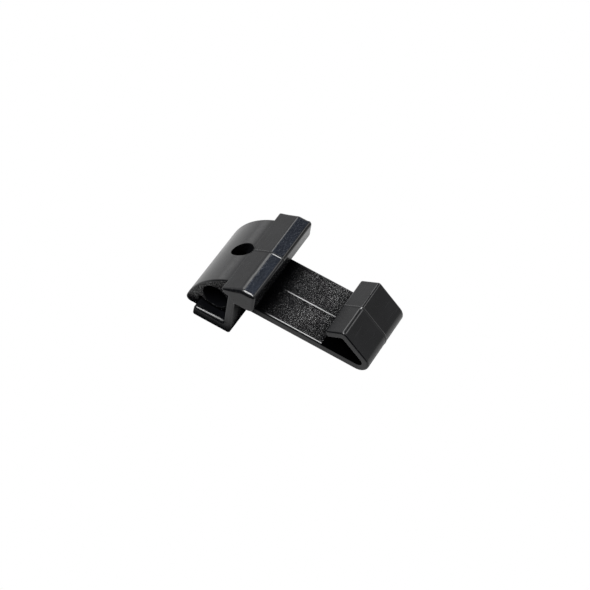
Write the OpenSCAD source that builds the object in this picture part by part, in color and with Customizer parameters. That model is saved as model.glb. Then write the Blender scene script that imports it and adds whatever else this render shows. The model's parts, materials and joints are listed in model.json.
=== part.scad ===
// Moulded cleat horn fitting: a line tube with a domed nose, a T-shaped web whose rail and foot
// stand out past the plate as horns, and a flat plate that ends in a snap-over hook.
// The fitting is one moulding, drawn as its named regions, which meet face to face.
// Origin: centre of the line bore. +X runs from the bore to the hook, +Y along the bore, +Z up.
// Every region is a profile in the XZ plane, drawn out along Y and symmetric about the mould line.

/* [Line tube] */
// Diameter of the line bore
bore_d = 9.2; // [7:0.1:13]
// Wall of the tube round the line bore
tube_wall = 1.2; // [0.8:0.1:2.4]
// Length of the tube and the nose along the bore
tube_l = 31; // [20:0.5:48]

/* [Nose] */
// Radius of the brow that curves from the rail's eave down to the tip
brow_r = 29; // [26:0.5:44]
// Depth of the nose's lower edge below the bore axis
nose_drop = 9.8; // [8:0.1:12]
// Radius of the nose's tip
tip_r = 2; // [1:0.1:2.6]
// Depth below the bore axis to which the nose's material wraps the tube
wrap_drop = 3.5; // [1:0.1:4.5]

/* [Pin hole] */
// Diameter of the pin hole from the brow into the bore
pin_hole_d = 6.2; // [3:0.1:6.8]
// Lean of the pin hole from upright, towards the rail
pin_hole_lean = 11; // [0:0.5:15]
// Inset of the pin hole from the bore's side, at the bore axis
pin_hole_inset = 0.1; // [0.05:0.05:1]

/* [Web and foot] */
// Length of the rail, the web and the foot along the bore
horn_span = 38.4; // [30:0.2:60]
// Thickness of the web
web_t = 3; // [2:0.1:5]
// Thickness of the foot under the tube
foot_t = 4.4; // [3:0.1:8]
// Radius of the foot's lower edges
foot_edge_r = 1; // [0.4:0.1:1.4]

/* [Rail] */
// Height of the rail's flat top above the bore axis
rail_top = 15.4; // [13.4:0.1:20]
// Height of the rail's underside, over the plate, above the bore axis
rail_under = 6.7; // [5:0.1:7.8]
// Reach of the rail past the web, over the plate
rail_reach = 6.8; // [5:0.1:10]
// Width of the flat band along the rail's top
band_w = 5.3; // [3:0.1:6.5]
// Slope of the rail's top from the band down to the eave
rail_slope = 29.7; // [26:0.1:31]
// Overhang of the eave past the web, over the nose
eave_w = 2.5; // [1.8:0.1:3.2]
// Height of the eave's underside above the bore axis
eave_under = 9.1; // [8.6:0.1:9.3]
// Chamfer under the eave's edge
eave_chamfer = 1.4; // [0.5:0.1:1.6]
// Radius of the rail's lower outer edge
rail_edge_r = 2.2; // [0.5:0.1:3]
// Radius of the ridge between the band and the slope
ridge_r = 2; // [0.5:0.1:4]

/* [Plate] */
// Width of the plate and the hook along the bore
plate_w = 25; // [16:0.5:29]
// Thickness of the plate
plate_t = 3.6; // [2.4:0.1:4]
// Depth of the plate's underside below the bore axis
plate_drop = 2.8; // [1:0.1:4]
// Width of the raised mould line along the plate's top
mould_line_w = 0.6; // [0.2:0.1:1]
// Height of the raised mould line
mould_line_h = 0.2; // [0.1:0.05:0.4]

/* [Hook] */
// Distance from the web's outer face to the hook's farthest point
reach = 47.3; // [40:0.1:80]
// Height of the hook's ridge above the plate's underside, before rounding
hook_h = 15.1; // [13:0.1:19]
// Slope of the hook's wall, which leans back over the plate
wall_slope = 38.4; // [36:0.1:48]
// Thickness of the hook's wall
wall_t = 3; // [2.4:0.1:3.2]
// Outer radius of the heel between the plate and the hook's wall
heel_r = 4.4; // [4:0.1:5]
// Radius of the corner inside the heel
crotch_r = 1; // [0.5:0.1:1.1]
// Length of the lip from the ridge to its tip
lip_l = 7.9; // [5:0.1:9]
// Slope of the lip, down from the ridge
lip_slope = 31; // [20:0.5:35]
// Thickness of the lip
lip_t = 3; // [2:0.1:3.2]
// Radius of the ridge between the hook's wall and the lip
hook_ridge_r = 1.5; // [0.5:0.1:2]

/* [Hidden] */
$fn = 96;
ARC_STEP = 5;      // degrees between the points of an arc
OVERSIZE = 60;     // more than any part of the hook's profile
PLASTIC = "#1d1e20";

bore_r = bore_d / 2;
tube_r = bore_r + tube_wall;
pin_hole_x = bore_r - pin_hole_d / 2 - pin_hole_inset;

// The web touches the tube on one side, and the foot touches it from below
web_near = tube_r;
web_far = web_near + web_t;
foot_top = -tube_r;
foot_bottom = foot_top - foot_t;

rail_far = web_far + rail_reach;
rail_ridge = [rail_far - band_w, rail_top];
eave_x = web_near - eave_w;
eave = [eave_x, rail_top - (rail_ridge.x - eave_x) * tan(rail_slope)];

// The brow leaves the eave along the rail's slope, and the tip's arc touches it from inside
brow_c = eave + brow_r * [sin(rail_slope), -cos(rail_slope)];
tip_z = tip_r - nose_drop;
tip_c = [brow_c.x - sqrt(pow(brow_r - tip_r, 2) - pow(tip_z - brow_c.y, 2)), tip_z];
tip_angle = atan2(tip_c.y - brow_c.y, tip_c.x - brow_c.x);

plate_bottom = -plate_drop;
plate_top = plate_bottom + plate_t;
hook_far = web_far + reach;
heel_c = [hook_far - heel_r, plate_bottom + heel_r];

// Directions of the hook's wall, up from the heel, and of its lip, down to the tip
wall_dir = [-cos(wall_slope), sin(wall_slope)];
lip_dir = [-cos(lip_slope), -sin(lip_slope)];
wall_in = [-wall_dir.y, wall_dir.x];
lip_in = [-lip_dir.y, lip_dir.x];
wall_foot = heel_c - heel_r * wall_in;
hook_ridge = wall_foot + wall_dir * (plate_bottom + hook_h - wall_foot.y) / wall_dir.y;
hook_inside = meet(wall_foot + wall_t * wall_in, wall_dir, hook_ridge + lip_t * lip_in, lip_dir);
crotch = meet(wall_foot + wall_t * wall_in, wall_dir, [0, plate_top], [1, 0]);
lip_tip = hook_ridge + lip_l * lip_dir;

// The plate ends where the heel or the rounding of the crotch begins, whichever is nearer
crotch_run = crotch_r / tan(wall_slope / 2);
plate_end = min(heel_c.x, crotch.x - crotch_run);

// Point where the line through p along u crosses the line through q along v
function meet(p, u, q, v) = p + u * ((q.x - p.x) * v.y - (q.y - p.y) * v.x) / (u.x * v.y - u.y * v.x);

function unit(v) = v / norm(v);

// Points of an arc about c, from angle a to angle b
function arc(c, r, a, b) =
    let (n = ceil(abs(b - a) / ARC_STEP))
    [for (i = [0:n]) c + r * [cos(a + (b - a) * i / n), sin(a + (b - a) * i / n)]];

// Points of the corner at b, between its neighbours a and c, rounded to radius r
function corner(a, b, c, r) =
    let (
        u = unit(a - b),
        v = unit(c - b),
        half = acos(u * v) / 2,
        m = b + unit(u + v) * r / sin(half),
        start = b + u * r / tan(half) - m,
        turn = (180 - 2 * half) * sign(u.y * v.x - u.x * v.y),
        from = atan2(start.y, start.x)
    )
    arc(m, r, from, from + turn);

// A profile with its corners rounded: each entry is a point and the radius of its corner
function rounded(corners) =
    let (n = len(corners))
    [for (i = [0:n - 1])
        let (here = corners[i])
        each here[1] == 0 ? [here[0]]
            : corner(corners[(i + n - 1) % n][0], here[0], corners[(i + 1) % n][0], here[1])];

module along_bore(length) {
    color(PLASTIC) rotate([90, 0, 0]) linear_extrude(length, center = true) children();
}

// Cut for the pin hole, from the bore axis out through the brow
module pin_hole() {
    translate([-pin_hole_x, 0, 0]) rotate([0, pin_hole_lean, 0]) cylinder(d = pin_hole_d, h = rail_top);
}

module line_tube() {
    color(PLASTIC) difference() {
        along_bore(tube_l) difference() {
            circle(tube_r);
            circle(bore_r);
        }
        pin_hole();
    }
}

// Fills between the brow, the tube, the web and the eave, and hangs as a skirt beside the foot
module nose_fairing() {
    outline = concat(
        arc(brow_c, brow_r, 90 + rail_slope, tip_angle),
        arc(tip_c, tip_r, tip_angle, 270),
        [
            [-tube_r, -nose_drop],
            [-tube_r, -wrap_drop],
            [0, -wrap_drop],
            [0, 0],
            [tube_r, 0],
            [web_near, eave_under],
            [eave_x + eave_chamfer, eave_under],
            [eave_x, eave_under + eave_chamfer]
        ]
    );
    color(PLASTIC) difference() {
        along_bore(tube_l) difference() {
            polygon(outline);
            circle(tube_r);
        }
        pin_hole();
    }
}

module web() {
    along_bore(horn_span) polygon([
        [web_near, foot_top], [web_far, foot_top], [web_far, rail_under], [web_near, rail_under]
    ]);
}

module foot() {
    along_bore(horn_span) polygon(rounded([
        [[-tube_r, foot_top], 0],
        [[-tube_r, foot_bottom], foot_edge_r],
        [[web_far, foot_bottom], foot_edge_r],
        [[web_far, foot_top], 0]
    ]));
}

// The pin hole's rim runs just into the rail's eave
module horn_rail() {
    color(PLASTIC) difference() {
        along_bore(horn_span) polygon(rounded([
            [eave, 0],
            [[eave_x, eave_under + eave_chamfer], 0],
            [[eave_x + eave_chamfer, eave_under], 0],
            [[web_near, eave_under], 0],
            [[web_near, rail_under], 0],
            [[rail_far, rail_under], rail_edge_r],
            [[rail_far, rail_top], 0],
            [rail_ridge, ridge_r]
        ]));
        pin_hole();
    }
}

module base_plate() {
    along_bore(plate_w) polygon([
        [web_far, plate_bottom], [plate_end, plate_bottom], [plate_end, plate_top], [web_far, plate_top]
    ]);
    along_bore(mould_line_w) polygon([
        [web_far, plate_top], [plate_end, plate_top],
        [plate_end, plate_top + mould_line_h], [web_far, plate_top + mould_line_h]
    ]);
}

// The hook's wall and lip as one outline, which the mitre at the ridge divides
module hook_outline() {
    polygon(concat(
        [[plate_end, plate_bottom]],
        arc(heel_c, heel_r, -90, 90 - wall_slope),
        corner(wall_foot, hook_ridge, lip_tip, hook_ridge_r),
        [lip_tip, lip_tip + lip_t * lip_in, hook_inside],
        corner(hook_inside, crotch, [plate_end, plate_top], crotch_r),
        [[plate_end, plate_top]]
    ));
}

// Half plane on the lip's side of the mitre through the hook's ridge
module lip_side() {
    mitre = unit(hook_ridge - hook_inside) * OVERSIZE;
    polygon([
        hook_inside - mitre,
        hook_inside + mitre,
        hook_inside + mitre - [OVERSIZE, 0],
        hook_inside - mitre - [OVERSIZE, 0]
    ]);
}

module hook_wall() {
    along_bore(plate_w) difference() {
        hook_outline();
        lip_side();
    }
}

module hook_lip() {
    along_bore(plate_w) intersection() {
        hook_outline();
        lip_side();
    }
}

line_tube();
nose_fairing();
web();
foot();
horn_rail();
base_plate();
hook_wall();
hook_lip();
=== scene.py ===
"""A moulded black cleat horn fitting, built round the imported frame.

Each CAD region gets a finished mesh of the same shape, with the edge radii, the slight mismatch of
the two mould halves and the raised mould line of the real moulding. Sizes are in millimetres, unless
a comment says otherwise, and become metres as each mesh is made. The frame gives the overall ones.
"""

import json
from collections import namedtuple
from math import acos, atan2, cos, floor, pi, radians, sin, sqrt, tan

import bmesh
import bpy
from mathutils import Matrix, Vector


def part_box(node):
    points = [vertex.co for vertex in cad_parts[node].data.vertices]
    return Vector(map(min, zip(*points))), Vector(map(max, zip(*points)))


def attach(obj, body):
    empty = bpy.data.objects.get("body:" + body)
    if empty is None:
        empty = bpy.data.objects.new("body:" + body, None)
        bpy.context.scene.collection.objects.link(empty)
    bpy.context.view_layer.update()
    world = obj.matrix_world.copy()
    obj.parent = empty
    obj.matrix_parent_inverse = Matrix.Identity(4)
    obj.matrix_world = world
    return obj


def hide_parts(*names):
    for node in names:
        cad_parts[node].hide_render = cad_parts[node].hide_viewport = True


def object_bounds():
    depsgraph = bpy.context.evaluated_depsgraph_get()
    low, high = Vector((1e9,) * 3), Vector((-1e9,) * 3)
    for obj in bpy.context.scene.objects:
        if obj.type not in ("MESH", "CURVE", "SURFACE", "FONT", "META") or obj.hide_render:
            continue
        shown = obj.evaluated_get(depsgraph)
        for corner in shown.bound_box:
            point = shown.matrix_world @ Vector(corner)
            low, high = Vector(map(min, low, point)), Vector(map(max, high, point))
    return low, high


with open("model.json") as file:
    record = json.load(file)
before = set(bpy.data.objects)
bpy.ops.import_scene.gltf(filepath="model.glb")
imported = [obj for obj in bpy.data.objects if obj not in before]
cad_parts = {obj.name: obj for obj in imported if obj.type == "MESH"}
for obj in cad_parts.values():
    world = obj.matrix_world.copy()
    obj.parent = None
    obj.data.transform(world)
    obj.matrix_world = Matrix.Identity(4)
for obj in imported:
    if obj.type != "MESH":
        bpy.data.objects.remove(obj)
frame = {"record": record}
cad_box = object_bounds()

MM = 0.001
BODY = "root"

# Radii of the edges round the ends: most of them, then the ones that differ
EDGE_R = 0.7
BAND_END_R = 1.5
BAND_EDGE_END_R = 1.1
SLOPE_END_R = 1.2
FOOT_END_R = 1.9
FOOT_TOP_END_R = 1.0
PLATE_END_R = 0.9

# Radii of the outlines' plain corners, and of the holes' rims
CORNER_R = 0.85
RIM_R = 0.3

# How finely the round stretches are divided, and the least angle that stays a sharp crease.
# Sharp mitres are held to this share, and vertices closer than MERGE become one.
END_STEPS = 9
CORNER_STEPS = 12
BROW_STEPS = 40
TIP_STEPS = 14
HEEL_STEPS = 24
TUBE_SIDES = 96
PIN_SIDES = 72
CREASE = radians(14)
MITRE_LIMIT = 0.35
MERGE = 0.002

# Shape facts that the frame's boxes don't give
RAIL_SLOPE = radians(29.7)
BAND_W = 5.3
EAVE_CHAMFER = 1.4
EAVE_DROP = 6.3
RAIL_EDGE_R = 2.2
RAIL_FILLET_R = 0.5
WEB_FILLET_R = 0.3
BAND_EDGE_R = 1.3
FOOT_TOP_R = 1.25
BROW_R = 29.0
TIP_R = 2.0
WRAP_DROP = 3.5
FOOT_EDGE_R = 1.0
WALL_SLOPE = radians(38.4)
LIP_SLOPE = radians(31)
LIP_L = 7.9
LIP_T = 3.0
LIP_FILLET_R = 0.4
WALL_T = 3.0
HEEL_R = 4.4
CROTCH_R = 1.0
HOOK_H = 15.1
PLATE_T = 3.6

# How far the nose runs on inside the rail, and how far below the rail's surface
EAVE_LAP = 1.2
LAP_DEPTH = 0.01

# Points along straight stretches where the end's edge radius changes
BAND_MARK = 2.0
SLOPE_MARK = 3.0
WEB_MARK = 1.2
CROTCH_MARK = 3.0

# The pin hole's cutter: its rim's length against RIM_R, and its rise and flare past the rim
RIM_STRETCH = 1.6
CUTTER_RISE = 6.0
CUTTER_FLARE = 3.0

# The T is divided this far below the rail and above the foot, just clear of the fillets. The other
# height, just above the plate's top, tells the plate's faces from the lip's.
SPLIT_GAP = 0.6
POCKET_LEVEL = 2.0

# The two mould halves don't match quite: the ridges are rounder on the near half, at -Y
RIDGE_R = {"near": 5.0, "far": 2.2}
HOOK_RIDGE_R = {"near": 2.0, "far": 1.3}

# The mould line's height, its widths on the T and on the plate and hook, and on the plate's top the
# height that it has besides
LINE_H = 0.11
TEE_LINE_W = 0.85
HOOK_LINE_W = 0.95
PLATE_LINE_H = 0.06

# Painted shade: recesses this deep, in millimetres, lose their sheen between these shares of open
# sky
RECESS_REACH = 12.0
RECESS_RANGE = (0.66, 0.93)

UP = Vector((0, 0, 1))
ALONG = Vector((1, 0, 0))
QUARTER_TURN = [pi / 2 * i / END_STEPS for i in range(END_STEPS + 1)]


# ---------------------------------------------------------------- sizes from the frame


def span(node, axis):
    """Lowest and highest place of a CAD node along an axis, in millimetres."""
    low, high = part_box(node)
    return low[axis] / MM, high[axis] / MM


def mount(name):
    """One of the record's mounts, by name."""
    return next(m for m in frame["record"]["mounts"] if m["name"] == name)


X, Y, Z = 0, 1, 2
tube_half = span("line_tube", Y)[1]
tube_r = span("line_tube", Z)[1]
bore_r = mount("line_bore")["dims"]["r_mm"]
horn_half = span("web", Y)[1]
web_near, web_far = span("web", X)
foot_bottom, foot_top = span("foot", Z)
rail_under, rail_top = span("horn_rail", Z)
eave_x, rail_far = span("horn_rail", X)
eave_under = rail_top - EAVE_DROP
nose_low = span("nose_fairing", Z)[0]
plate_half = span("base_plate", Y)[1]
plate_bottom = span("base_plate", Z)[0]
plate_end = span("base_plate", X)[1]
plate_top = plate_bottom + PLATE_T
hook_far = span("hook_wall", X)[1]


# ---------------------------------------------------------------- plane geometry, in XZ


class Outline:
    """A closed outline in XZ, anticlockwise. Each point has the radius of the end's edge there, how
    far along X and Z it may slide as the outline is inset, and the mould line's extra height."""

    def __init__(self):
        self.points = []
        self.end_radii = []
        self.slides = []
        self.line_heights = []

    def add(self, points, end_r=0.0, slide=(1, 1), line_h=0.0):
        for p in points:
            self.points.append(Vector(p))
            self.end_radii.append(end_r or EDGE_R)
            self.slides.append(slide)
            self.line_heights.append(line_h)

    def inset(self, distances):
        """The outline's points moved inwards, each by its own distance."""
        moved = []
        count = len(self.points)
        for i, p in enumerate(self.points):
            before = (p - self.points[i - 1]).normalized()
            after = (self.points[(i + 1) % count] - p).normalized()
            n1, n2 = Vector((-before.y, before.x)), Vector((-after.y, after.x))
            mitre = (n1 + n2) / max(MITRE_LIMIT, 1 + n1.dot(n2)) * distances[i]
            moved.append(p + Vector((mitre.x * self.slides[i][0], mitre.y * self.slides[i][1])))
        return moved

    def ring(self, half_length, turn, skin):
        """Vertices of the ring at one turn of the end's rounded edge, skin inside the outline."""
        insets = [skin + r * (1 - sin(turn)) for r in self.end_radii]
        places = [half_length - r * (1 - cos(turn)) for r in self.end_radii]
        return [(p.x, y, p.y) for p, y in zip(self.inset(insets), places)]

    def level_ring(self, y):
        """Vertices of the ring where the mould line begins."""
        return [(p.x, y, p.y) for p in self.inset([LINE_H] * len(self.points))]

    def crest_ring(self, y):
        """Vertices of the ring along the mould line's crest."""
        return [(p.x, y, p.y) for p in self.inset([-h for h in self.line_heights])]


def polar(angle, r=1.0):
    return Vector((r * cos(angle), r * sin(angle)))


def arc(centre, r, start, end, count):
    """Points of an arc, from one angle to another."""
    return [Vector(centre) + polar(start + (end - start) * i / count, r) for i in range(count + 1)]


def corner(a, b, c, r, count=CORNER_STEPS):
    """Points of the corner at b, between its neighbours a and c, rounded to radius r."""
    a, b, c = Vector(a), Vector(b), Vector(c)
    u, v = (a - b).normalized(), (c - b).normalized()
    half = acos(max(-1, min(1, u.dot(v)))) / 2
    m = b + (u + v).normalized() * r / sin(half)
    start = b + u * r / tan(half) - m
    turn = (pi - 2 * half) * (-1 if u.x * v.y - u.y * v.x > 0 else 1)
    first = atan2(start.y, start.x)
    return arc(m, r, first, first + turn, count)


def meet(p, u, q, v):
    """Point where the line through p along u crosses the line through q along v."""
    d = q - p
    return p + u * (d.x * v.y - d.y * v.x) / (u.x * v.y - u.y * v.x)


# ---------------------------------------------------------------- outlines

eave = Vector((eave_x, rail_top - (rail_far - BAND_W - eave_x) * tan(RAIL_SLOPE)))
up_slope = polar(RAIL_SLOPE)
brow_c = eave + BROW_R * Vector((sin(RAIL_SLOPE), -cos(RAIL_SLOPE)))


def loop_of(corners):
    """Outline through corner points, each with its radius and the end's edge radius there."""
    out = Outline()
    count = len(corners)
    for i, (p, r, end_r) in enumerate(corners):
        if r == 0:
            out.add([p], end_r)
        else:
            after = corners[(i + 1) % count][0]
            out.add(corner(corners[i - 1][0], p, after, r), end_r)
    return out


UPRIGHT = (0, 1)
FIXED = (0, 0)


def tee(half):
    """Outline of the T whose ends are the horns: the foot, the web and the rail."""
    left = -tube_r
    return loop_of([
        ((left, foot_bottom), FOOT_EDGE_R, EDGE_R),
        ((web_far, foot_bottom), FOOT_EDGE_R, EDGE_R),
        ((web_far, rail_under), RAIL_FILLET_R, EDGE_R),
        ((rail_far, rail_under), RAIL_EDGE_R, EDGE_R),
        ((rail_far, rail_top), BAND_EDGE_R, BAND_EDGE_END_R),
        ((rail_far - BAND_MARK, rail_top), 0, BAND_END_R),
        ((rail_far - BAND_W, rail_top), RIDGE_R[half], BAND_END_R),
        ((eave.x + SLOPE_MARK, eave.y + SLOPE_MARK * tan(RAIL_SLOPE)), 0, SLOPE_END_R),
        (tuple(eave), CORNER_R, EDGE_R),
        ((eave_x, eave_under + EAVE_CHAMFER), CORNER_R, EDGE_R),
        ((eave_x + EAVE_CHAMFER, eave_under), CORNER_R, EDGE_R),
        ((web_near, eave_under), WEB_FILLET_R, EDGE_R),
        ((web_near, foot_top + WEB_MARK), 0, EDGE_R),
        ((web_near, foot_top), WEB_FILLET_R, FOOT_END_R),
        ((left, foot_top), FOOT_TOP_R, FOOT_TOP_END_R),
    ])


def nose():
    """Outline of the nose from the eave round the tip, up the skirt and over the tube."""
    tip_z = nose_low + TIP_R
    tip_c = Vector((brow_c.x - sqrt((BROW_R - TIP_R) ** 2 - (tip_z - brow_c.y) ** 2), tip_z))
    tip_angle = atan2(tip_c.y - brow_c.y, tip_c.x - brow_c.x) % (2 * pi)
    step = 2 * pi / TUBE_SIDES
    wrap = pi + atan2(WRAP_DROP, sqrt(tube_r ** 2 - WRAP_DROP ** 2))
    sides = floor(wrap / step)
    below = Vector((0, -LAP_DEPTH))
    out = Outline()
    out.add([eave + up_slope * EAVE_LAP + below, eave + below])
    out.add(arc(brow_c, BROW_R, pi / 2 + RAIL_SLOPE, tip_angle, BROW_STEPS)[1:])
    out.add(arc(tip_c, TIP_R, tip_angle, 1.5 * pi, TIP_STEPS)[1:])
    out.add([(-tube_r, nose_low)], slide=UPRIGHT)
    out.add([(-tube_r, -WRAP_DROP), polar(wrap, tube_r)], slide=FIXED)
    out.add([polar(i * step, tube_r) for i in range(sides, -1, -1)], slide=FIXED)
    out.add([(web_near, eave_under)], slide=FIXED)
    return out


Hook = namedtuple("Hook", "heel_c foot ridge inside crotch tip tip_in")


def hook_line():
    """The heel's centre and the corner points of the hook's wall and lip, outside and inside."""
    heel_c = Vector((hook_far - HEEL_R, plate_bottom + HEEL_R))
    wall_dir = Vector((-cos(WALL_SLOPE), sin(WALL_SLOPE)))
    lip_dir = Vector((-cos(LIP_SLOPE), -sin(LIP_SLOPE)))
    wall_in = Vector((-wall_dir.y, -cos(WALL_SLOPE)))
    lip_in = Vector((-lip_dir.y, lip_dir.x))
    foot = heel_c - HEEL_R * wall_in
    ridge = foot + wall_dir * (plate_bottom + HOOK_H - foot.y) / wall_dir.y
    inside = meet(foot + WALL_T * wall_in, wall_dir, ridge + LIP_T * lip_in, lip_dir)
    crotch = meet(foot + WALL_T * wall_in, wall_dir, Vector((0, plate_top)), Vector((1, 0)))
    tip = ridge + LIP_L * lip_dir
    tip_in = tip + LIP_T * lip_in
    return Hook(heel_c, foot, ridge, inside, crotch, tip, tip_in)


hook = hook_line()


def plate_and_hook(half):
    """Outline of the plate, the heel, the hook's wall and its lip."""
    heel_c, foot, ridge, inside, crotch, tip, tip_in = hook
    plate_corner = (web_far, plate_top)
    out = Outline()
    out.add([plate_corner], PLATE_END_R, UPRIGHT, PLATE_LINE_H)
    out.add([(web_far, plate_bottom)], EDGE_R, UPRIGHT)
    out.add(arc(heel_c, HEEL_R, -pi / 2, pi / 2 - WALL_SLOPE, HEEL_STEPS))
    out.add(corner(foot, ridge, tip, HOOK_RIDGE_R[half]))
    out.add(corner(ridge, tip, tip_in, CORNER_R))
    out.add(corner(tip, tip_in, inside, CORNER_R))
    out.add(corner(tip_in, inside, crotch, LIP_FILLET_R))
    out.add(corner(inside, crotch, plate_corner, CROTCH_R))
    marks = [crotch - Vector((CROTCH_MARK, 0)), (tip.x, plate_top)]
    out.add(marks, PLATE_END_R, line_h=PLATE_LINE_H)
    return out


# ---------------------------------------------------------------- meshes


def smooth_shading(bm):
    """Smooth shading that keeps the creases sharp."""
    for face in bm.faces:
        face.smooth = True
    for edge in bm.edges:
        edge.smooth = edge.is_manifold and edge.calc_face_angle(0) < CREASE


def new_piece(name, bm):
    """An object from a mesh that was built in millimetres, and that is used up here."""
    bmesh.ops.remove_doubles(bm, verts=bm.verts, dist=MERGE)
    bmesh.ops.recalc_face_normals(bm, faces=bm.faces)
    bm.transform(Matrix.Scale(MM, 4))
    bm.normal_update()
    smooth_shading(bm)
    mesh = bpy.data.meshes.new(name)
    bm.to_mesh(mesh)
    bm.free()
    piece = bpy.data.objects.new(name, mesh)
    bpy.context.scene.collection.objects.link(piece)
    return piece


def even_shading(piece):
    """Keep the flat faces' shading flat beside the rounded edges."""
    weighted = piece.modifiers.new("even_shading", "WEIGHTED_NORMAL")
    weighted.mode = "FACE_AREA"
    weighted.keep_sharp = True


def bridge(bm, low, high):
    """Faces between two rings of the same number of vertices."""
    for i in range(len(low)):
        bm.faces.new((low[i - 1], low[i], high[i], high[i - 1]))


def loft(near, far, half_length, line_w=0.0):
    """A solid between two end faces: near outline up to the mould line, far outline past it."""
    near_end = [near.ring(half_length, turn, LINE_H) for turn in QUARTER_TURN]
    stations = [[(x, -y, z) for x, y, z in ring] for ring in near_end]
    if line_w:
        stations.append(near.level_ring(-line_w / 2))
        stations.append(near.crest_ring(-line_w / 5))
        stations.append(far.crest_ring(line_w / 5))
        stations.append(far.level_ring(line_w / 2))
    stations += [far.ring(half_length, turn, LINE_H) for turn in reversed(QUARTER_TURN)]
    bm = bmesh.new()
    rings = [[bm.verts.new(v) for v in ring] for ring in stations]
    for low, high in zip(rings, rings[1:]):
        bridge(bm, low, high)
    for ring in (rings[0], rings[-1]):
        face = bm.faces.new(ring)
        face.normal_update()
        bmesh.ops.triangulate(bm, faces=[face], ngon_method="EAR_CLIP")
    return bm


def divided(whole, planes, kept):
    """The part of a closed mesh whose faces kept(centre) picks, once planes have cut the faces."""
    part = whole.copy()
    for point, normal in planes:
        everything = part.verts[:] + part.edges[:] + part.faces[:]
        bmesh.ops.bisect_plane(part, geom=everything, plane_co=point, plane_no=normal, dist=1e-5)
    dropped = [f for f in part.faces if not kept(f.calc_center_median())]
    bmesh.ops.delete(part, geom=dropped, context="FACES")
    open_edges = [e for e in part.edges if e.is_boundary]
    bmesh.ops.contextual_create(part, geom=open_edges)
    part.normal_update()
    bmesh.ops.triangulate(part, faces=[f for f in part.faces if len(f.verts) > 4])
    return part


def split_pieces(whole, planes, kept):
    """The pieces by node that kept's tests pick from a closed mesh, which is used up here."""
    parts = {node: divided(whole, planes, test) for node, test in kept.items()}
    whole.free()
    return {node: new_piece(node + "_moulding", part) for node, part in parts.items()}


def build_tee():
    """The horn rail, the web and the foot, divided across the web just clear of its fillets."""
    whole = loft(tee("near"), tee("far"), horn_half, TEE_LINE_W)
    under_rail = rail_under - SPLIT_GAP
    over_foot = foot_top + SPLIT_GAP
    planes = [(UP * under_rail, UP), (UP * over_foot, UP)]
    kept = {
        "horn_rail": lambda c: c.z > under_rail,
        "web": lambda c: over_foot < c.z < under_rail,
        "foot": lambda c: c.z < over_foot,
    }
    return split_pieces(whole, planes, kept)


def build_plate_and_hook():
    """The plate, the hook's wall and its lip, divided at the heel and at the ridge's mitre."""
    whole = loft(plate_and_hook("near"), plate_and_hook("far"), plate_half, HOOK_LINE_W)
    mitre = (hook.ridge - hook.inside).normalized()
    wall_side = Vector((mitre.y, 0, -mitre.x))
    at_ridge = Vector((hook.inside.x, 0, hook.inside.y))
    planes = [(ALONG * plate_end, ALONG), (at_ridge, wall_side)]

    def in_plate(c):
        return c.z < POCKET_LEVEL and c.x < plate_end

    def in_lip(c):
        return c.z > POCKET_LEVEL and (c - at_ridge).dot(wall_side) < 0

    kept = {
        "base_plate": in_plate,
        "hook_wall": lambda c: not in_plate(c) and not in_lip(c),
        "hook_lip": in_lip,
    }
    return split_pieces(whole, planes, kept)


def build_nose():
    outline = nose()
    return new_piece("nose_fairing_moulding", loft(outline, outline, tube_half))


def build_tube():
    """The line tube, with rounded rims at the bore's mouths."""
    rim = [(tube_half - RIM_R * (1 - cos(t)), bore_r + RIM_R * (1 - sin(t))) for t in QUARTER_TURN]
    stations = [(-y, r) for y, r in rim] + [(y, r) for y, r in reversed(rim)]
    full_turn = [2 * pi * i / TUBE_SIDES for i in range(TUBE_SIDES)]
    bm = bmesh.new()

    def ring(y, r):
        return [bm.verts.new((r * cos(t), y, r * sin(t))) for t in full_turn]

    inner = [ring(y, r) for y, r in stations]
    outer = [ring(-tube_half, tube_r), ring(tube_half, tube_r)]
    for low, high in zip(inner, inner[1:]):
        bridge(bm, low, high)
    bridge(bm, outer[0], outer[1])
    bridge(bm, inner[0], outer[0])
    bridge(bm, inner[-1], outer[1])
    return new_piece("line_tube_moulding", bm)


def wall_height(start, axis, r, turn):
    """Distance along the pin hole's wall, at one turn, from the bore axis to the brow or rail."""
    side = Vector((axis.z, 0, -axis.x)) * cos(turn) * r
    p = Vector((start.x + side.x, start.z + side.z))
    u = Vector((axis.x, axis.z))
    w = p - brow_c
    b = w.dot(u)
    on_brow = -b + sqrt(b * b - w.length_squared + BROW_R ** 2)
    on_slope = (meet(p, u, eave, up_slope) - p).dot(u)
    return on_slope if (p + u * on_brow).x > eave_x else on_brow


def build_pin_cutter():
    """A cutter for the pin hole, which flares where it meets the brow, so the rim is rounded."""
    hole = mount("pin_hole")
    r = hole["dims"]["r_mm"]
    axis = Vector(hole["axis"]).normalized()
    point = Vector(hole["pos_m"]) / MM
    start = point - axis * (point.z / axis.z)
    across = Vector((axis.z, 0, -axis.x))
    full_turn = [2 * pi * i / PIN_SIDES for i in range(PIN_SIDES)]
    spokes = [across * cos(t) + Vector((0, 1, 0)) * sin(t) for t in full_turn]
    heights = [wall_height(start, axis, r, t) for t in full_turn]
    rim = [(-RIM_R * (1 - sin(t)) * RIM_STRETCH, RIM_R * (1 - cos(t))) for t in QUARTER_TURN]
    bm = bmesh.new()

    def ring(grow, along):
        places = [start + out * (r + grow) + axis * a for out, a in zip(spokes, along)]
        return [bm.verts.new(place) for place in places]

    rings = [ring(0.0, [0.0] * PIN_SIDES)]
    for rise, grow in rim + [(CUTTER_RISE, RIM_R + CUTTER_FLARE)]:
        rings.append(ring(grow, [height + rise for height in heights]))
    for low, high in zip(rings, rings[1:]):
        bridge(bm, low, high)
    bm.faces.new(rings[0])
    bm.faces.new(rings[-1])
    bm.normal_update()
    bmesh.ops.triangulate(bm, faces=bm.faces)
    return new_piece("pin_cutter", bm)


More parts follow.
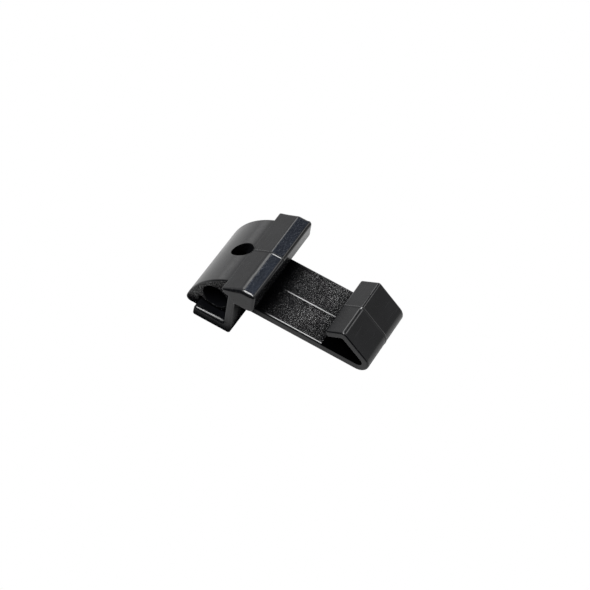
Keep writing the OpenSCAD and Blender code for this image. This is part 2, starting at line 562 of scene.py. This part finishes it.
def bore(piece, cutter):
    """Take the cutter's shape out of the piece's mesh."""
    boolean = piece.modifiers.new("pin_hole", "BOOLEAN")
    boolean.operation = "DIFFERENCE"
    boolean.solver = "EXACT"
    boolean.object = cutter
    graph = bpy.context.evaluated_depsgraph_get()
    bm = bmesh.new()
    bm.from_mesh(piece.evaluated_get(graph).to_mesh())
    piece.modifiers.remove(boolean)
    smooth_shading(bm)
    bm.to_mesh(piece.data)
    bm.free()


# ---------------------------------------------------------------- materials


class Paint:
    """Short calls for building a material's node tree."""

    def __init__(self, name):
        self.material = bpy.data.materials.new(name)
        self.material.use_nodes = True
        self.tree = self.material.node_tree
        self.shader = self.tree.nodes["Principled BSDF"]
        self.place = self.tree.nodes.new("ShaderNodeTexCoord").outputs["Object"]

    def node(self, kind, inputs=None, **settings):
        made = self.tree.nodes.new(kind)
        for key, value in settings.items():
            setattr(made, key, value)
        for key, value in (inputs or {}).items():
            if isinstance(value, bpy.types.NodeSocket):
                self.tree.links.new(value, made.inputs[key])
            else:
                made.inputs[key].default_value = value
        return made

    def noise(self, per_mm, detail=2.0, roughness=0.5):
        made = self.node(
            "ShaderNodeTexNoise",
            {"Vector": self.place, "Scale": per_mm / MM, "Detail": detail, "Roughness": roughness},
        )
        return made.outputs["Fac"]

    def cells(self, per_mm):
        made = self.node("ShaderNodeTexVoronoi", {"Vector": self.place, "Scale": per_mm / MM})
        return made.outputs["Distance"]

    def remap(self, value, low, high, to_low, to_high):
        made = self.node(
            "ShaderNodeMapRange",
            {"Value": value, "From Min": low, "From Max": high, "To Min": to_low, "To Max": to_high},
        )
        return made.outputs["Result"]

    def math(self, operation, a, b):
        return self.node("ShaderNodeMath", {0: a, 1: b}, operation=operation).outputs[0]

    def bump(self, height, strength, depth_mm, below=None):
        inputs = {"Height": height, "Strength": strength, "Distance": depth_mm * MM}
        if below is not None:
            inputs["Normal"] = below
        return self.node("ShaderNodeBump", inputs).outputs["Normal"]

    def set(self, **inputs):
        for key, value in inputs.items():
            socket = self.shader.inputs[key.replace("_", " ")]
            if isinstance(value, bpy.types.NodeSocket):
                self.tree.links.new(value, socket)
            else:
                socket.default_value = value


def black_tint(paint, low, high):
    """Black that drifts slightly in tone across the moulding."""
    drift = paint.noise(0.12, detail=3.0)
    ramp = paint.node("ShaderNodeValToRGB", {"Fac": drift})
    ramp.color_ramp.elements[0].position = 0.35
    ramp.color_ramp.elements[0].color = (*low, 1)
    ramp.color_ramp.elements[1].position = 0.7
    ramp.color_ramp.elements[1].color = (*high, 1)
    return ramp.outputs["Color"]


def sheen_faded_by_painted_shade(paint, sheen):
    """Specular level with painted shade: ambient occlusion fades the sheen in the moulding's
    recesses.
    """
    recess = paint.node("ShaderNodeAmbientOcclusion", {"Distance": RECESS_REACH * MM}, samples=12)
    return paint.remap(recess.outputs["AO"], *RECESS_RANGE, 0.0, sheen)


def scratches(paint):
    """A few long thin scratches, as a mask."""
    turned = paint.node(
        "ShaderNodeMapping",
        {"Vector": paint.place, "Rotation": (0.0, 0.5, 0.7), "Scale": (1.0, 0.06, 0.3)},
    ).outputs["Vector"]
    lines = paint.node(
        "ShaderNodeTexNoise", {"Vector": turned, "Scale": 2.2 / MM, "Detail": 1.0}
    ).outputs["Fac"]
    return paint.remap(lines, 0.66, 0.72, 0.0, 1.0)


def satin_plastic():
    """Satin moulded black: a fine orange-peel skin, soft flow marks and faint scuffs."""
    paint = Paint("satin_black_plastic")
    skin = paint.bump(paint.noise(1.6, detail=4.0), 0.25, 0.03)
    flow = paint.bump(paint.noise(0.16, detail=2.0), 0.3, 0.12, below=skin)
    haze = paint.remap(paint.noise(0.9, detail=6.0, roughness=0.7), 0.35, 0.75, 0.15, 0.26)
    marks = paint.math("MULTIPLY", scratches(paint), 0.2)
    paint.set(
        Base_Color=black_tint(paint, (0.0020, 0.0021, 0.0026), (0.0042, 0.0044, 0.0052)),
        Roughness=paint.math("ADD", haze, marks),
        IOR=1.5,
        # Painted shade: the sheen fades in recesses, by ambient occlusion
        Specular_IOR_Level=sheen_faded_by_painted_shade(paint, 0.5),
        Normal=flow,
    )
    return paint.material


def band_plastic():
    """Polished bluish black with fine dents: the rail's flat band."""
    paint = Paint("polished_black_plastic")
    dents = paint.bump(paint.noise(2.0, detail=3.0, roughness=0.6), 0.8, 0.12)
    specks = paint.bump(paint.cells(1.1), 0.6, 0.1, below=dents)
    paint.set(
        Base_Color=black_tint(paint, (0.0030, 0.0040, 0.0070), (0.0060, 0.0080, 0.0130)),
        Roughness=paint.remap(paint.noise(1.8), 0.3, 0.7, 0.14, 0.26),
        IOR=1.5,
        Specular_Tint=(0.8, 0.88, 1.0, 1.0),
        # Painted shade: the sheen fades in recesses, by ambient occlusion
        Specular_IOR_Level=sheen_faded_by_painted_shade(paint, 0.5),
        Normal=specks,
    )
    return paint.material


def grained_plastic():
    """Coarse spark-eroded grain, whose facets glint."""
    paint = Paint("grained_black_plastic")
    pits = paint.bump(paint.cells(2.0), 1.0, 0.3)
    grain = paint.bump(paint.noise(2.0, detail=3.0, roughness=0.7), 1.0, 0.6, below=pits)
    glint = paint.remap(paint.noise(2.6, detail=2.0), 0.44, 0.58, 0.05, 2.4)
    rubbed = paint.remap(paint.noise(0.10, detail=3.0), 0.50, 0.62, 0.7, 1.5)
    # Painted shade fades the sheen in recesses, times the random glints and rubbed patches
    sheen = paint.math("MULTIPLY", sheen_faded_by_painted_shade(paint, 0.6), paint.math("MULTIPLY", glint, rubbed))
    paint.set(
        Base_Color=black_tint(paint, (0.0015, 0.0015, 0.0019), (0.0032, 0.0032, 0.0038)),
        Roughness=paint.remap(paint.noise(3.0), 0.3, 0.7, 0.12, 0.28),
        IOR=1.5,
        Specular_IOR_Level=sheen,
        Normal=grain,
    )
    return paint.material


def pocket_shade_plastic():
    """Painted shade for the hook's pocket: near-black with no sheen, so its faces look shadowed."""
    paint = Paint("pocket_shade_black_plastic")
    paint.set(
        Base_Color=black_tint(paint, (0.0002, 0.0002, 0.0002), (0.0006, 0.0006, 0.0007)),
        Roughness=paint.remap(paint.noise(1.5), 0.3, 0.7, 0.5, 0.7),
        Specular_IOR_Level=0.0,
    )
    return paint.material


# ---------------------------------------------------------------- stage

# The floor: its half width, and between two places along Y, the tones it shows in reflections
FLOOR_HALF = 400
FRONT_FADE = (-70, -45, 0.05, 1.0)
BACK_FADE = (-20, 40, 0.38, 0.5)

# The room: its level, and each region's direction, inner and outer angle in degrees, and shade
SKY_LEVEL = 0.74
REGIONS = (
    ((-0.12, 0.50, 0.86), 8, 26, 0.35),  # reflected in the band and the plate
    ((0.80, 0.50, 0.35), 12, 40, 0.52),  # reflected in the hook's wall
    ((-0.54, 0.56, 0.62), 3, 11, 6.0),  # reflected in the rail's ridge
    ((0.34, 0.58, 0.74), 3, 11, 5.0),  # reflected in the hook's ridge
    ((-0.84, 0.54, -0.04), 3, 14, 2.0),  # reflected in the brow
)

# The softbox: direction and distance from the origin, in metres, its sides and its power
LAMP_TOWARDS = (-0.2, -0.30, 0.92)
LAMP_DISTANCE = 0.6
LAMP_SIDES = (0.34, 0.28)
LAMP_POWER = 5.2

# The camera: its lens and sensor, its direction and roll, its distance from what it aims at, and how
# far that is from the middle of the CAD's box
LENS = 117.6
SENSOR = 36
AZIMUTH, ELEVATION, ROLL = radians(20.06), radians(53.22), radians(12)
CAMERA_DISTANCE = 636.7
AIM_OFFSET = Vector((-0.657, -1.153, -0.575))


def make_floor():
    """A plain white floor that looks evenly lit from above."""
    bm = bmesh.new()
    bmesh.ops.create_grid(bm, x_segments=1, y_segments=1, size=FLOOR_HALF * MM)
    mesh = bpy.data.meshes.new("floor")
    bm.to_mesh(mesh)
    bm.free()
    ground = bpy.data.objects.new("floor", mesh)
    ground.location = (0, 0, foot_bottom * MM)
    bpy.context.scene.collection.objects.link(ground)
    paint = Paint("white_floor")
    tree = paint.tree
    tree.nodes.remove(paint.shader)
    along_y = paint.node("ShaderNodeSeparateXYZ", {0: paint.place}).outputs["Y"]
    fades = []
    for start, end, first, last in (FRONT_FADE, BACK_FADE):
        fades.append(paint.remap(along_y, start * MM, end * MM, first, last))
    tone = paint.math("MULTIPLY", *fades)
    matte = paint.node("ShaderNodeBsdfDiffuse", {"Color": tone})
    glow = paint.node("ShaderNodeEmission", {"Color": (1, 1, 1, 1), "Strength": 1.0})
    seen = paint.node("ShaderNodeLightPath").outputs["Is Camera Ray"]
    mix = paint.node("ShaderNodeMixShader", {0: seen, 1: matte.outputs[0], 2: glow.outputs[0]})
    tree.links.new(mix.outputs[0], tree.nodes["Material Output"].inputs["Surface"])
    mesh.materials.append(paint.material)


class Sky:
    """A world whose brightness is a product of smooth regions of direction."""

    def __init__(self, name):
        self.world = bpy.data.worlds.new(name)
        self.world.use_nodes = True
        self.nodes = self.world.node_tree.nodes
        self.links = self.world.node_tree.links
        self.direction = self.nodes.new("ShaderNodeTexCoord").outputs["Generated"]
        self.level = None

    def along(self, towards):
        dot = self.nodes.new("ShaderNodeVectorMath")
        dot.operation = "DOT_PRODUCT"
        self.links.new(self.direction, dot.inputs[0])
        dot.inputs[1].default_value = Vector(towards).normalized()
        return dot.outputs["Value"]

    def ramp(self, value, start, end, first, last, linear=False):
        made = self.nodes.new("ShaderNodeMapRange")
        made.interpolation_type = "LINEAR" if linear else "SMOOTHSTEP"
        self.links.new(value, made.inputs["Value"])
        settings = {"From Min": start, "From Max": end, "To Min": first, "To Max": last}
        for socket, setting in settings.items():
            made.inputs[socket].default_value = setting
        return made.outputs["Result"]

    def join(self, operation, a, b):
        made = self.nodes.new("ShaderNodeMath")
        made.operation = operation
        self.links.new(a, made.inputs[0])
        self.links.new(b, made.inputs[1])
        return made.outputs[0]

    def patch(self, towards, inner, outer, shade):
        """Multiply the sky by shade within inner degrees of a direction, fading by outer."""
        near = self.ramp(self.along(towards), cos(radians(outer)), cos(radians(inner)), 1.0, shade)
        self.level = near if self.level is None else self.join("MULTIPLY", self.level, near)

    def dark_horizon(self):
        """Blacken a strip along the horizon in front."""
        low = self.ramp(self.along((0, 0, 1)), 0.48, 0.66, 1.0, 0.0)
        front = self.ramp(self.along((0, -1, 0)), 0.15, 0.42, 0.0, 1.0)
        strip = self.ramp(self.join("MULTIPLY", low, front), 0.0, 1.0, 1.0, 0.0)
        self.level = self.join("MULTIPLY", self.level, strip)

    def finish(self):
        """Pure white to the camera, the patches to everything else."""
        seen = self.nodes.new("ShaderNodeLightPath").outputs["Is Camera Ray"]
        background = self.nodes["Background"]
        background.inputs["Color"].default_value = (1, 1, 1, 1)
        dimmed = self.ramp(self.level, 0.0, 10.0, 0.0, 10.0 * SKY_LEVEL, linear=True)
        strength = self.join("MAXIMUM", dimmed, seen)
        self.links.new(strength, background.inputs["Strength"])
        bpy.context.scene.world = self.world


def make_room():
    """White studio walls with dark and bright regions, as a small tabletop set has them."""
    sky = Sky("studio")
    for region in REGIONS:
        sky.patch(*region)
    sky.dark_horizon()
    sky.finish()


def make_softbox():
    """One large soft light from the front and above."""
    light = bpy.data.lights.new("softbox", "AREA")
    light.shape = "RECTANGLE"
    light.size, light.size_y = LAMP_SIDES
    light.energy = LAMP_POWER
    lamp = bpy.data.objects.new("softbox", light)
    towards = Vector(LAMP_TOWARDS).normalized()
    lamp.location = towards * LAMP_DISTANCE
    lamp.rotation_mode = "QUATERNION"
    lamp.rotation_quaternion = towards.to_track_quat("Z", "Y")
    bpy.context.scene.collection.objects.link(lamp)


def make_camera():
    """A long lens from the front right and above, rolled to the fitting's resting tilt."""
    data = bpy.data.cameras.new("camera")
    data.lens = LENS
    data.sensor_width = SENSOR
    data.clip_start = 0.05
    low, high = cad_box
    target = (low + high) / 2 + AIM_OFFSET * MM
    outwards = Vector((sin(AZIMUTH), -cos(AZIMUTH), 0))
    back = outwards * cos(ELEVATION) + UP * sin(ELEVATION)
    level = Vector((cos(AZIMUTH), sin(AZIMUTH), 0))
    right = level * cos(ROLL) + back.cross(level) * sin(ROLL)
    turned = Matrix((right, back.cross(right), back)).transposed().to_4x4()
    camera = bpy.data.objects.new("camera", data)
    camera.matrix_world = Matrix.Translation(target + back * CAMERA_DISTANCE * MM) @ turned
    bpy.context.scene.collection.objects.link(camera)
    bpy.context.scene.camera = camera


# ---------------------------------------------------------------- assembly

# Places of a piece's materials. Every face starts at 0, the satin.
GRAINED, POLISHED, POCKET_SHADE = 1, 2, 3
pocket = (hook.inside + hook.crotch + hook.tip) / 3


def in_pocket(centre, normal):
    """Whether a face looks into the hook's pocket."""
    inwards = (pocket - Vector((centre.x, centre.z))).normalized()
    return centre.x > hook.tip.x and inwards.dot(Vector((normal.x, normal.z))) > 0.3


def on_end(_, normal):
    """Whether a face is on a flat end."""
    return abs(normal.y) > 0.95


def on_plate_top(_, normal):
    """Whether a face is level and looks up."""
    return normal.z > 0.995


def on_band(centre, normal):
    """Whether a face is on the rail's flat band."""
    return centre.z > rail_top - 1.5 and normal.z > 0.99


def paint_faces(piece, index, chosen):
    """Give one of the piece's materials to the faces that chosen(centre in mm, normal) picks."""
    for face in piece.data.polygons:
        if chosen(face.center / MM, face.normal):
            face.material_index = index


make_camera()
make_floor()
make_room()
make_softbox()
bpy.context.scene.view_settings.view_transform = "Standard"

pieces = {**build_tee(), **build_plate_and_hook()}
pieces["nose_fairing"] = build_nose()
pieces["line_tube"] = build_tube()

cutter = build_pin_cutter()
for node in ("nose_fairing", "line_tube", "horn_rail"):
    bore(pieces[node], cutter)
bpy.data.objects.remove(cutter)

paints = (satin_plastic(), grained_plastic(), band_plastic(), pocket_shade_plastic())
for node, piece in pieces.items():
    even_shading(piece)
    for material in paints:
        piece.data.materials.append(material)
    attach(piece, BODY)
    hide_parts(node)

paint_faces(pieces["base_plate"], GRAINED, on_plate_top)
# Painted shade: the faces that look into the hook's pocket get the near-black, sheenless material
for node in ("base_plate", "hook_wall", "hook_lip"):
    paint_faces(pieces[node], POCKET_SHADE, in_pocket)
for node in ("nose_fairing", "line_tube"):
    paint_faces(pieces[node], GRAINED, on_end)
paint_faces(pieces["horn_rail"], POLISHED, on_band)
